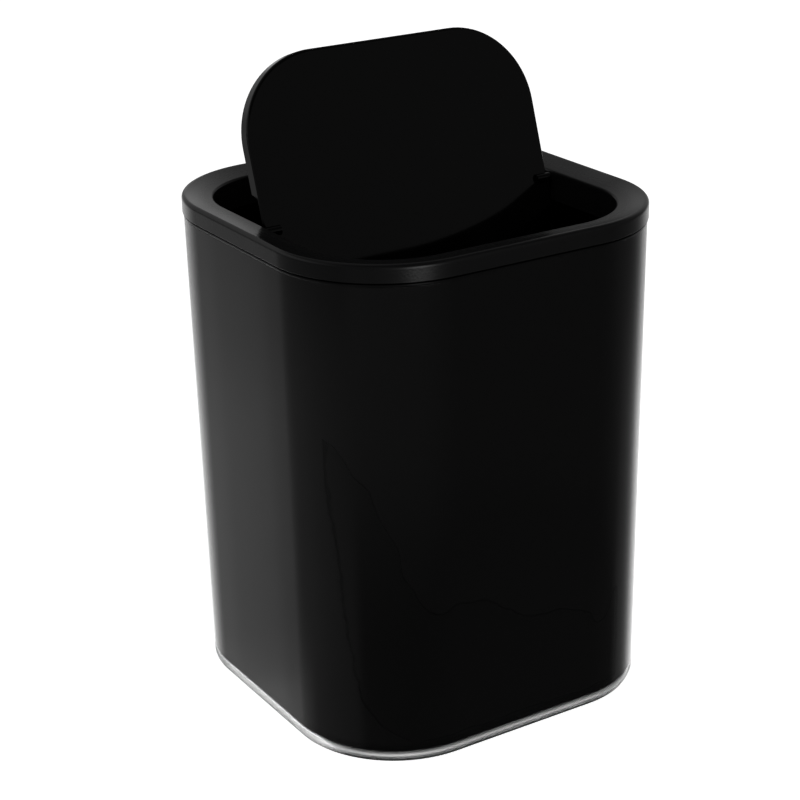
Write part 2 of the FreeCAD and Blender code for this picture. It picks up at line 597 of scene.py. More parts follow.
@dataclass(frozen=True)
class Finish(ABC):
    """A surface finish.

    Attributes:
        slot: the record's slot that it belongs to.
        colour: its base colour.
        marked_colour: the base colour under handling marks.
        roughness: its roughness where it is clean.
        marked_roughness: its roughness under handling marks.
        mark_scale: how fine its handling marks are.
    """

    slot: Slot
    colour: Colour
    marked_colour: Colour
    roughness: float
    marked_roughness: float
    mark_scale: float

    def material(self) -> bpy.types.Material:
        """Builds the material.

        Returns:
            A material named after the slot, with colour and roughness that follow the handling marks.
        """
        made, wiring = new_material(self.slot.value + "_finish")
        marks = self.effect(wiring, Effect.MARKS, self.mark_scale)
        inputs = {
            "Base Color": wiring.blend(marks, self.colour, self.marked_colour),
            "Roughness": wiring.ranged(marks, 0.0, 1.0, self.roughness, self.marked_roughness),
        }
        shader = wiring.add("ShaderNodeBsdfPrincipled", inputs)
        self.finish(wiring, shader)
        wiring.add("ShaderNodeOutputMaterial", {"Surface": shader.outputs["BSDF"]})
        return made

    @staticmethod
    def effect(wiring: Wiring, effect: Effect, scale: float) -> Socket:
        """Places a shared effect in a material.

        Args:
            wiring: the material's tree.
            effect: which effect.
            scale: how fine it is.

        Returns:
            Its output.
        """
        node = wiring.add("ShaderNodeGroup", node_tree=effect_group(effect))
        node.inputs["Scale"].default_value = scale
        return node.outputs[0]

    @staticmethod
    def bump(wiring: Wiring, height: Socket, depth: float, shader: bpy.types.Node) -> None:
        """Gives the shader a relief.

        Args:
            wiring: the material's tree.
            height: the relief, from 0 to 1.
            depth: its depth in millimetres.
            shader: the shader that takes it.
        """
        node = wiring.add("ShaderNodeBump", {"Height": height, "Distance": depth * MM, "Strength": 1.0})
        wiring.join(node.outputs["Normal"], shader, "Normal")

    @abstractmethod
    def finish(self, wiring: Wiring, shader: bpy.types.Node) -> None:
        """Adds what is this finish's own.

        Args:
            wiring: the material's tree.
            shader: its shader.
        """


@dataclass(frozen=True)
class ClearAcrylic(Finish):
    """Polished clear plastic.

    Attributes:
        ior: its refractive index.
        ripple_scale: how fine the moulding ripple of its faces is.
        ripple_depth: the ripple's depth in millimetres.
        foot_height: height up to which the foot is hazy, in millimetres.
        foot_fade: height over which the haze ends, in millimetres.
        foot_roughness: roughness of the hazy foot.
        shade_top: height where the liner's shade in the foot is deepest, in millimetres.
        shade_front: how far down the shade reaches on the front, in millimetres.
        shade_side: how far down it reaches on the sides, in millimetres.
        shade_power: how late in its reach it gives way to the light.
        shadow_line_top: height of the painted contact shadow along the foot's lower edge, in millimetres.
        shadow_line_fade: height over which that painted shadow ends, in millimetres.
        shadow_line_front: what the painted shadow lets through on the front.
        shadow_line_side: what it lets through on the sides.
    """

    ior: float = 1.49
    ripple_scale: float = 22.0
    ripple_depth: float = 0.05
    foot_height: float = 5.4
    foot_fade: float = 0.5
    foot_roughness: float = 0.55
    shade_top: float = 6.7
    shade_front: float = 5.4
    shade_side: float = 1.6
    shade_power: float = 4.0
    shadow_line_top: float = 1.6
    shadow_line_fade: float = 0.4
    shadow_line_front: float = 0.01
    shadow_line_side: float = 0.5

    def finish(self, wiring: Wiring, shader: bpy.types.Node) -> None:
        """Makes the shader clear and gives it the moulding ripple and the hazy, shaded foot.

        Args:
            wiring: the material's tree.
            shader: its shader.
        """
        height = wiring.axes(wiring.position())["Z"]
        haze_start = (self.foot_height - self.foot_fade) * MM
        haze = wiring.ranged(height, haze_start, self.foot_height * MM, self.foot_roughness, 0.0)
        rough = wiring.math("MAXIMUM", wiring.given(shader, "Roughness"), haze)
        wiring.join(rough, shader, "Roughness")
        light = self.foot_light(wiring, height)
        inputs = {0: wiring.given(shader, "Base Color"), "Scale": light}
        shaded = wiring.add("ShaderNodeVectorMath", inputs, operation="SCALE").outputs[0]
        wiring.join(shaded, shader, "Base Color")
        shader.inputs["Transmission Weight"].default_value = 1.0
        shader.inputs["IOR"].default_value = self.ior
        self.bump(wiring, self.effect(wiring, Effect.RIPPLE, self.ripple_scale), self.ripple_depth, shader)

    def foot_light(self, wiring: Wiring, height: Socket) -> Socket:
        """Works out the light in the foot.

        Below the top of the liner's painted shade it is (the drop from there / the shade's reach) to a
        power, and at most 1. The painted contact shadow along the lower edge takes away from that.

        Args:
            wiring: the material's tree.
            height: the place's height in metres.

        Returns:
            The share of the light that the foot lets through, 1 above it.
        """
        # painted shade: the foot's colour darkens upwards towards the black liner's base above it
        reach = wiring.round_front(self.shade_front * MM, self.shade_side * MM)
        drop = wiring.math("SUBTRACT", self.shade_top * MM, height)
        fade = wiring.math("DIVIDE", drop, reach, clamp=True)
        above = wiring.math("LESS_THAN", drop, 0.0)
        light = wiring.math("MAXIMUM", wiring.math("POWER", fade, self.shade_power), above)
        # painted contact shadow: the foot's colour goes dark in a line along its lower edge
        line = wiring.round_front(self.shadow_line_front, self.shadow_line_side)
        shadow_line_start = (self.shadow_line_top - self.shadow_line_fade) * MM
        clear = wiring.ranged(height, shadow_line_start, self.shadow_line_top * MM, 0.0, 1.0)
        return wiring.product(light, wiring.math("MAXIMUM", clear, line))


@dataclass(frozen=True)
class GlossLiner(Finish):
    """Black gloss plastic, seen through the clear wall.

    Where the liner presses on the wall its own gloss is weaker, and along the edge of that patch it is gone.

    Attributes:
        gloss: strength of its own gloss.
        gloss_roughness: roughness of that gloss.
        pressed: how the gloss that is lost grows from the patch's edge inwards, over millimetres.
        edge_line: how the loss along the patch's edge ends away from it, over millimetres.
        wander: how far the patch's edge wanders, in millimetres, over its noise.
        wander_scale: how fine that noise is.
        wander_detail: how many finer layers it has.
        patch_top: the patch's upper edge on the front, X and Z in millimetres.
        patch_left: the patch's left edge on the front, Z and X in millimetres.
        patch_right: the patch's right edge, X in millimetres.
        patch_base: the patch's lower edge, Z in millimetres.
        front: how far forward the patch reaches, Y in millimetres.
        lip: height where the lip starts, which no clear wall covers, in millimetres.
        lip_shadow_line: how the gloss ends below a dull strip of painted shadow on the lip's top, over the
            height in mm.
    """

    gloss: float = 0.45
    gloss_roughness: float = 0.06
    pressed: Ramp = Ramp(-0.3, 0.3, 0.0, 0.25)
    edge_line: Ramp = Ramp(0.2, 1.0, 1.0, 0.0)
    wander: Ramp = Ramp(0.0, 1.0, -1.5, 1.5)
    wander_scale: float = 60.0
    wander_detail: float = 3.0
    patch_top: Curve = (
        (-92, 170), (-75, 138), (-71, 127), (-65, 109), (-60, 93), (-44, 74), (-37, 77), (-10, 66),
        (1, 60), (38, 51), (45, 43), (56, 57), (70, 60),
    )
    patch_left: Curve = (
        (0, -30), (8, -54), (14, -66), (24, -74), (46, -79), (94, -83), (125, -85), (170, -87),
    )
    patch_right: float = 56.5
    patch_base: float = 9.0
    front: float = -60.0
    lip: float = 233.5
    lip_shadow_line: Ramp = Ramp(234.4, 234.7, 1.0, 0.0)

    def finish(self, wiring: Wiring, shader: bpy.types.Node) -> None:
        """Puts the gloss in a coat that follows the patch, with a dull strip of painted shadow on the lip's
        top.

        Args:
            wiring: the material's tree.
            shader: its shader.
        """
        axes = wiring.axes(wiring.millimetres())
        depth = self.patch_depth(wiring, axes)
        facing = wiring.math("LESS_THAN", axes["Y"], self.front)
        inside = wiring.product(wiring.ramp(depth, self.pressed), facing)
        line = wiring.product(wiring.ramp(wiring.math("ABSOLUTE", depth), self.edge_line), facing)
        lost = wiring.math("MAXIMUM", inside, line)
        coat = wiring.product(wiring.math("SUBTRACT", 1.0, lost), self.gloss)
        # full gloss on the lip, but for a dull strip of painted shadow along its top, under the ring's skirt
        coat = wiring.math("MAXIMUM", coat, wiring.math("GREATER_THAN", axes["Z"], self.lip))
        wiring.join(wiring.product(coat, wiring.ramp(axes["Z"], self.lip_shadow_line)), shader, "Coat Weight")
        shader.inputs["Coat Roughness"].default_value = self.gloss_roughness
        shader.inputs["Specular IOR Level"].default_value = 0.0

    def patch_depth(self, wiring: Wiring, axes: bpy.types.NodeOutputs) -> Socket:
        """Measures how far a place lies inside the pressed patch.

        Args:
            wiring: the material's tree.
            axes: the place's X, Y and Z in millimetres.

        Returns:
            The least distance from the patch's four wandering edges, below 0 outside it.
        """
        cloud = wiring.noise(wiring.position(), self.wander_scale, self.wander_detail)
        wander = wiring.ramp(cloud, self.wander)
        across = wiring.math("ADD", axes["X"], wander)
        up = wiring.math("ADD", axes["Z"], wander)
        return wiring.least(
            wiring.math("SUBTRACT", wiring.curve(across, self.patch_top), up),
            wiring.math("SUBTRACT", across, wiring.curve(up, self.patch_left)),
            wiring.math("SUBTRACT", self.patch_right, across),
            wiring.math("SUBTRACT", up, self.patch_base),
        )


@dataclass(frozen=True)
class GrainedPlastic(Finish):
    """Moulded plastic or rubber with a fine grain.

    Attributes:
        grain_scale: how fine the grain is.
        grain_depth: the grain's depth in millimetres.
        sheen: the strength of its reflection, 0.5 for plain plastic.
    """

    grain_scale: float = 900.0
    grain_depth: float = 0.02
    sheen: float = 0.5

    def finish(self, wiring: Wiring, shader: bpy.types.Node) -> None:
        """Gives the shader its grain."""
        shader.inputs["Specular IOR Level"].default_value = self.sheen
        self.bump(wiring, self.effect(wiring, Effect.GRAIN, self.grain_scale), self.grain_depth, shader)


@dataclass(frozen=True)
class SatinRing(GrainedPlastic):
    """Satin plastic of the lid ring, smoother along its outer edge, where hands take hold of it.

    Attributes:
        outline: the ring's outline.
        worn: how much smoother the outer edge is.
        dull: how much duller the inner edge is.
        reach: insets between which that changes, in millimetres.
    """

    outline: Outline = RIM
    worn: float = 0.08
    dull: float = 0.05
    reach: tuple[float, float] = (3.0, 13.0)

    def finish(self, wiring: Wiring, shader: bpy.types.Node) -> None:
        """Gives the shader its grain and the worn outer edge.

        The place's distance from the centre of the nearest corner, or of the straight run, is the corner's
        radius less the inset.

        Args:
            wiring: the material's tree.
            shader: its shader.
        """
        super().finish(wiring, shader)
        start = self.outline.half_x - self.outline.radius
        plan = wiring.vector("MULTIPLY", wiring.millimetres(), (1.0, 1.0, 0.0))
        spread = wiring.vector("SUBTRACT", wiring.vector("ABSOLUTE", plan), (start, start, 0.0))
        away = wiring.vector("LENGTH", wiring.vector("MAXIMUM", spread))
        near, far = (self.outline.radius - inset for inset in self.reach)
        change = wiring.ranged(away, far, near, self.dull, -self.worn)
        rough = wiring.math("ADD", wiring.given(shader, "Roughness"), change)
        wiring.join(rough, shader, "Roughness")


@dataclass(frozen=True)
class TurnedSteel(Finish):
    """Bright steel with fine turning lines round the pin.

    Attributes:
        line_scale: how close the turning lines are.
        line_depth: their depth in millimetres.
        line_waver: how uneven they are.
    """

    line_scale: float = 1400.0
    line_depth: float = 0.01
    line_waver: float = 0.4

    def finish(self, wiring: Wiring, shader: bpy.types.Node) -> None:
        """Makes the shader metal and cuts the turning lines into it.

        Args:
            wiring: the material's tree.
            shader: its shader.
        """
        shader.inputs["Metallic"].default_value = 1.0
        inputs = {"Vector": wiring.position(), "Scale": self.line_scale, "Distortion": self.line_waver}
        lines = wiring.add("ShaderNodeTexWave", inputs, bands_direction="X").outputs["Fac"]
        self.bump(wiring, lines, self.line_depth, shader)


ACRYLIC = ClearAcrylic(
    Slot.ACRYLIC,
    colour=(1.0, 1.0, 1.0),
    marked_colour=(0.985, 0.99, 0.99),
    roughness=0.0,
    marked_roughness=0.03,
    mark_scale=9.0,
)
LINER = GlossLiner(
    Slot.LINER,
    colour=(0.0010, 0.0010, 0.0011),
    marked_colour=(0.0016, 0.0016, 0.0017),
    roughness=0.5,
    marked_roughness=0.6,
    mark_scale=9.0,
)
LID = SatinRing(
    Slot.LID,
    colour=(0.012, 0.012, 0.0124),
    marked_colour=(0.016, 0.016, 0.0164),
    roughness=0.25,
    marked_roughness=0.32,
    mark_scale=14.0,
)
FLAP = GrainedPlastic(
    Slot.FLAP,
    colour=(0.0008, 0.0008, 0.0009),
    marked_colour=(0.0014, 0.0014, 0.0015),
    roughness=0.06,
    marked_roughness=0.11,
    mark_scale=11.0,
    grain_scale=700.0,
    grain_depth=0.001,
)
PIN = TurnedSteel(
    Slot.PIN,
    colour=(0.36, 0.36, 0.37),
    marked_colour=(0.24, 0.24, 0.25),
    roughness=0.3,
    marked_roughness=0.45,
    mark_scale=300.0,
)
PAD = GrainedPlastic(
    Slot.PAD,
    colour=(0.045, 0.045, 0.045),
    marked_colour=(0.09, 0.09, 0.088),
    roughness=0.75,
    marked_roughness=0.9,
    mark_scale=60.0,
    grain_scale=1500.0,
    grain_depth=0.05,
    sheen=0.3,
)


# Sub-assemblies


@dataclass
class Part(ABC):
    """A sub-assembly of the bin.

    Attributes:
        pieces: what it has built so far.
    """

    pieces: list[bpy.types.Object] = field(default_factory=list, init=False)

    @abstractmethod
    def build(self) -> None:
        """Makes or takes up the pieces."""

    @abstractmethod
    def dress(self) -> None:
        """Gives the pieces their finishes."""

    def add(self, piece: bpy.types.Object, body: Body, *nodes: str) -> None:
        """Puts a new piece on a body, in place of the CAD nodes that it stands for.

        Args:
            piece: the new piece.
            body: the body that it moves with.
            nodes: those nodes; none where the piece only lies over one that stays.
        """
        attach(piece, body.value)
        if nodes:
            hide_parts(*nodes)
        self.pieces.append(piece)

    def keep(self, *nodes: str) -> None:
        """Takes up CAD nodes whose shape stays as it is."""
        self.pieces += [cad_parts[node] for node in nodes]

    def coat(self, finish: Finish) -> None:
        """Gives every piece one finish.

        Args:
            finish: the finish of all the pieces.
        """
        material = finish.material()
        for piece in self.pieces:
            piece.data.materials.clear()
            piece.data.materials.append(material)


@dataclass
class ClearShell(Part):
    """The clear outer bucket: drafted wall, raised floor and a foot ring.

    Attributes:
        top: height of the wall's top.
        base: height of the foot ring's underside.
        top_inset: inset of the wall's outside at the top.
        draft: how much further in the wall is at the base.
        wall: the wall's thickness.
        floor_under: height of the floor's underside.
        floor_top: height of the floor's upper side.
        foot_width: width of the foot ring.
        edge: rounding of the foot's outer edge.
        top_edge: rounding of the top's edges and of the foot's inner edges.
        inside: rounding between the wall and the floor.
        disc: inset where the level discs of the floor start.
    """

    top: float = 233.6
    base: float = 0.8
    top_inset: float = 0.6
    draft: float = 2.6
    wall: float = 2.4
    floor_under: float = 2.4
    floor_top: float = 4.4
    foot_width: float = 4.0
    edge: float = 0.6
    top_edge: float = 0.3
    inside: float = 0.3
    disc: float = 24.0

    def inset_at(self, height: float) -> float:
        """Returns the inset of the wall's outside at a height."""
        return self.top_inset + self.draft * (self.top - height) / (self.top - self.base)

    def build(self) -> None:
        """Carries the bucket's section round the outline.

        The section runs from the middle of the floor over the wall to the middle below the floor.
        """
        outside = self.inset_at(self.base)
        inner = self.inset_at(self.floor_top) + self.wall
        foot = outside + self.foot_width
        bends = [
            Bend(self.disc, self.floor_top, share=0.0),
            Bend(self.disc, self.floor_top),
            Bend(inner, self.floor_top, self.inside),
            Bend(self.top_inset + self.wall, self.top, self.top_edge),
            Bend(self.top_inset, self.top, self.top_edge),
            Bend(outside, self.base, self.edge),
            Bend(foot, self.base, self.top_edge),
            Bend(foot, self.floor_under, self.top_edge),
            Bend(self.disc, self.floor_under),
            Bend(self.disc, self.floor_under, share=0.0),
        ]
        bucket = new_piece("clear_shell", carried(RIM, rounded_profile(bends)))
        self.add(bucket, Body.SHELL, "outer_shell")

    def dress(self) -> None:
        """Makes the shell polished clear acrylic."""
        self.coat(ACRYLIC)


@dataclass
class BlackLiner(Part):
    """The black lift-out bucket: drafted wall, floor and the lip that hangs on the shell.

    Attributes:
        shell: the shell that it hangs in.
        touch: how far its outside lies within the clear wall, as a surface that touches it shows through it.
        floor_gap: distance to the shell's floor.
        wall: its wall's thickness.
        floor: its floor's thickness.
        lip: the lip's thickness.
        lip_inset: inset of the lip's edge.
        base_round: rounding of the outside of its base.
        inside_round: rounding between its wall and its floor.
        edge: rounding of the lip's edges.
    """

    shell: ClearShell
    touch: float = 0.05
    floor_gap: float = 0.8
    wall: float = 1.8
    floor: float = 2.0
    lip: float = 1.8
    lip_inset: float = 0.4
    base_round: float = 0.4
    inside_round: float = 3.0
    edge: float = 0.2

    def build(self) -> None:
        """Carries the bucket's section round the outline.

        The section runs from the middle inside over the wall and its lip to the middle of the underside.
        """
        shell = self.shell
        base = shell.floor_top + self.floor_gap
        floor = base + self.floor
        lip_top = shell.top + self.lip
        lip_under = shell.top + self.touch
        outside = shell.wall - self.touch
        inside = outside + self.wall
        bends = [
            Bend(shell.disc, floor, share=0.0),
            Bend(shell.disc, floor),
            Bend(shell.inset_at(floor) + inside, floor, self.inside_round),
            Bend(shell.inset_at(lip_top) + inside, lip_top, self.edge),
            Bend(self.lip_inset, lip_top, self.edge),
            Bend(self.lip_inset, lip_under, self.edge),
            Bend(shell.inset_at(lip_under) + outside, lip_under, self.edge),
            Bend(shell.inset_at(base) + outside, base, self.base_round),
            Bend(shell.disc, base),
            Bend(shell.disc, base, share=0.0),
        ]
        bucket = new_piece("black_liner", carried(RIM, rounded_profile(bends)))
        self.add(bucket, Body.LINER, "inner_liner")

    def dress(self) -> None:
        """Makes the liner black gloss plastic."""
        self.coat(LINER)


@dataclass
class LidRing(Part):
    """The satin ring that sits on the mouth, with a smooth face over the flat facets of its solid.

    Attributes:
        top: height of the ring.
        skirt: height of its lower edge.
        land: width of the land between the outside and the mouth.
        fall: how steeply the land falls towards the mouth, in degrees.
        outer_round: rounding of its outer edge.
        inner_round: rounding of the mouth's edge.
        reach: how far the face reaches down into the mouth, to above the bores of the pins.
        proud: how far the face stands off the solid.
        skin: how far it reaches into the solid.
        edge: rounding of its hidden edges.
    """

    top: float = 243.6
    skirt: float = 235.4
    land: float = 15.0
    fall: float = 10.2
    outer_round: float = 1.8
    inner_round: float = 1.2
    reach: float = 1.5
    proud: float = 0.03
    skin: float = 0.4
    edge: float = 0.1

    def land_height(self, inset: float, raised: float) -> float:
        """Works out the land's height.

        Args:
            inset: distance in from the ring's outside.
            raised: distance above the land, square to it.

        Returns:
            The height of the raised land at that inset, before its edges are rounded.
        """
        slope = math.tan(math.radians(self.fall))
        stretch = 1 / math.cos(math.radians(self.fall))
        return self.top + self.outer_round * (slope + stretch - 1) - inset * slope + raised * stretch

    def build(self) -> None:
        """Takes up the ring as it is and carries the section of its smooth face round the outline.

        The section runs from the skirt over the land into the mouth and back inside the solid.
        """
        self.keep("lid_frame")
        mouth = self.land + self.proud
        inside = self.land - self.skin
        low = self.land_height(self.land, 0.0) - self.reach
        bends = [
            Bend(-self.proud, self.skirt, self.edge),
            Bend(-self.proud, self.land_height(-self.proud, self.proud), self.outer_round),
            Bend(mouth, self.land_height(mouth, self.proud), self.inner_round),
            Bend(mouth, low, self.edge),
            Bend(inside, low, self.edge),
            Bend(inside, self.land_height(inside, -self.skin), self.inner_round - self.skin),
            Bend(self.skin, self.land_height(self.skin, -self.skin), self.outer_round - self.skin),
            Bend(self.skin, self.skirt, self.edge),
        ]
        face = new_piece("ring_face", carried(RIM, rounded_profile(bends, closed=True)), closed=True)
        self.add(face, Body.LID)

    def dress(self) -> None:
        """Makes the ring satin black plastic with a fine grain."""
        self.coat(LID)


@dataclass
class SwingFlap(Part):
    """The flap that swings in the ring."""

    def build(self) -> None:
        """Takes up the flap as it is."""
        self.keep("flap_panel")

    def dress(self) -> None:
        """Makes the flap smooth black plastic."""
        self.coat(FLAP)


@dataclass
class PivotPins(Part):
    """The two steel pins that the flap swings on."""

    def build(self) -> None:
        """Takes up both pins as they are."""
        self.keep("pivot_pin_left", "pivot_pin_right")

    def dress(self) -> None:
        """Makes the pins turned steel."""
        self.coat(PIN)


@dataclass
class FootPads(Part):
    """The four pads under the shell."""

    def build(self) -> None:
        """Takes up the pads as they are."""
        self.keep(*(f"foot_pad_{end}_{side}" for end in ("front", "back") for side in ("left", "right")))

    def dress(self) -> None:
        """Makes the pads grey rubber."""
        self.coat(PAD)


# Studio


@dataclass(frozen=True)
class Glow:
    """Brightness of a piece of the floor.

    Attributes:
        front: in front of the bin.
        left: left of it.
        right: right of it.
    """

    front: float
    left: float
    right: float


@dataclass
class PaleFloor:
    """The pale floor: a glowing patch that paints light into the clear foot from below, a ring of painted
    shadow under the foot's edge and the wide floor round it.

    Attributes:
        patch: outline of the bright patch.
        foot: outline of the shadow round it.
        reach: radius of the wide floor.
        shares: places of its rows of points between two outlines, as shares of the way.
        patch_glow: brightness of the patch's painted light.
        shadow_glow: brightness of the painted shadow.
        wide_glow: brightness of the wide floor.
        change: distances across, in metres, between which left turns into right.
        pale: how pale a bright floor is by itself.
        roughness: its roughness.
    """

    patch: Outline = Outline(half_x=85.8, half_y=85.8, radius=47.2)
    foot: Outline = Outline(half_x=91.4, half_y=91.4, radius=52.8)
    reach: float = 4000.0
    shares: tuple[float, ...] = (0.0, 0.01, 0.04, 0.15, 0.4, 1.0)
    patch_glow: Glow = Glow(front=3.4, left=2.4, right=3.0)
    shadow_glow: Glow = Glow(front=0.03, left=0.35, right=0.9)
    wide_glow: Glow = Glow(front=1.0, left=1.0, right=1.0)
    change: tuple[float, float] = (-0.02, 0.02)
    pale: float = 0.8
    roughness: float = 0.9

    def build(self) -> None:
        """Lays the three pieces of the floor.

        A point lies between two outlines: the axis and the patch, the patch and the foot, or the foot and a
        wide circle. Reflections and the clear wall see the room's light in place of the wide floor, so that
        the front face stays as dark as in a dark room.
        """
        patch, _ = self.patch.loop()
        foot, _ = self.foot.loop()
        circle = foot / np.linalg.norm(foot, axis=1, keepdims=True) * self.reach
        # painted light under the clear foot, and a ring of painted shadow round it
        self.lay("floor_patch", 0 * patch, patch, self.patch_glow)
        self.lay("floor_shadow", patch, foot, self.shadow_glow)
        wide = self.lay("floor_wide", foot, circle, self.wide_glow)
        wide.visible_glossy = False
        wide.visible_transmission = False
        wide.visible_diffuse = False

    def lay(self, name: str, inner: Floats, outer: Floats, glow: Glow) -> bpy.types.Object:
        """Lays one piece of the floor.

        Args:
            name: its name.
            inner: its inner outline.
            outer: its outer outline.
            glow: its brightness.

        Returns:
            The piece.
        """
        share = np.array(self.shares)[None, :, None]
        plan = inner[:, None, :] * (1 - share) + outer[:, None, :] * share
        points = np.concatenate([plan, np.zeros((*plan.shape[:2], 1))], axis=2)
        piece = new_piece(name, points)
        piece.data.materials.append(self.material(name, glow))
        return piece

    def material(self, name: str, glow: Glow) -> bpy.types.Material:
        """Builds the material of one piece of the floor.

        Args:
            name: the material's name.
            glow: the floor's brightness.

        Returns:
            The material.
        """
        made, wiring = new_material(name)
        tone = self.pale * min(glow.front, 1.0)
        light = (glow.front, glow.front, glow.front, 1.0)
        if not glow.front == glow.left == glow.right:
            across = wiring.axes(wiring.position())["X"]
            side = wiring.ranged(across, *self.change, glow.left, glow.right)
            light = wiring.round_front(glow.front, side)
        inputs = {
            "Base Color": (tone, tone, tone, 1.0),
            "Roughness": self.roughness,
            "Specular IOR Level": 0.0,
            "Emission Color": light,
            "Emission Strength": 1.0,
        }
        shader = wiring.add("ShaderNodeBsdfPrincipled", inputs)
        wiring.add("ShaderNodeOutputMaterial", {"Surface": shader.outputs["BSDF"]})
        return made


@dataclass
class GlowCard:
    """The glowing card upright behind the bin, which only reflections see.

    Attributes:
        azimuth: its direction from the bin, in degrees from +X.
        distance: how far behind the bin's middle it stands.
        lean: how much lower its light lies towards the left, as a share of the distance across.
        tilt: strength of its light over the distance across, to the left.
        light: its brightness over the height.
        border: width of the border where it fades into the room.
    """

    azimuth: float = 58.0
    distance: float = 350.0
    lean: float = 0.098
    tilt: Curve = (
        (-210, 0.7), (-115, 0.74), (-100, 0.95), (-90, 0.95), (-78, 0.56), (-50, 0.5), (0, 0.6), (50, 0.85),
        (78, 1.08), (98, 1.32), (210, 1.32),
    )
    light: Curve = (
        (205, 0.0), (225, 0.0), (235, 0.013), (252, 0.035), (272, 0.11), (292, 0.235), (313, 0.39),
        (333, 0.415), (353, 0.35), (372, 0.29), (389, 0.23), (405, 0.19), (418, 0.15), (454, 0.10),
        (504, 0.05), (584, 0.0),
    )
    border: float = 40.0

    def build(self) -> None:
        """Stands the card up.

        A corner is the card's foot, behind the bin, plus the distance across along its left and the height.
        """
        turn = math.radians(self.azimuth)
        ahead = np.array([math.cos(turn), math.sin(turn), 0.0])
        left = np.array([-math.sin(turn), math.cos(turn), 0.0])
        up = np.array([0.0, 0.0, 1.0])
        low, high = self.light[0][0], self.light[-1][0]
        right, end = self.tilt[0][0], self.tilt[-1][0]
        corners = np.array([(end, low), (right, low), (right, high), (end, high)])
        points = ahead * self.distance + corners[:, :1] * left + corners[:, 1:] * up
        mesh = bpy.data.meshes.new("card")
        mesh.from_pydata((points * MM).tolist(), [], [(0, 1, 2, 3)])
        card = bpy.data.objects.new("card", mesh)
        bpy.context.scene.collection.objects.link(card)
        card.visible_camera = False
        card.visible_diffuse = False
        card.visible_transmission = False
        card.visible_shadow = False
        mesh.materials.append(self.material(left))

    def material(self, left: Floats) -> bpy.types.Material:
        """Builds the card's material.

        Its light follows a drawn curve over the height. It reaches lower and is stronger on the left.

        Args:
            left: the direction along the card that its light grows in.

        Returns:
            The material.
        """
        made, wiring = new_material("card")
        place = wiring.millimetres()
        across = wiring.vector("DOT_PRODUCT", place, left)
        up = wiring.axes(place)["Z"]
        height = wiring.math("ADD", up, wiring.product(across, self.lean))
        glow = wiring.product(wiring.curve(height, self.light), wiring.curve(across, self.tilt))
        low, high, end = self.light[0][0], self.light[-1][0], self.tilt[-1][0]
        solid = wiring.product(
            wiring.ranged(wiring.math("ABSOLUTE", across), end - self.border, end, 1.0, 0.0),
            wiring.ranged(up, low, low + self.border, 0.0, 1.0),
            wiring.ranged(up, high - self.border, high, 1.0, 0.0),
        )
        inputs = {
            "Base Color": (0.0, 0.0, 0.0, 1.0),
            "Specular IOR Level": 0.0,
            "Emission Color": glow,
            "Emission Strength": 1.0,
            "Alpha": solid,
        }
        shader = wiring.add("ShaderNodeBsdfPrincipled", inputs)
        wiring.add("ShaderNodeOutputMaterial", {"Surface": shader.outputs["BSDF"]})
        return made


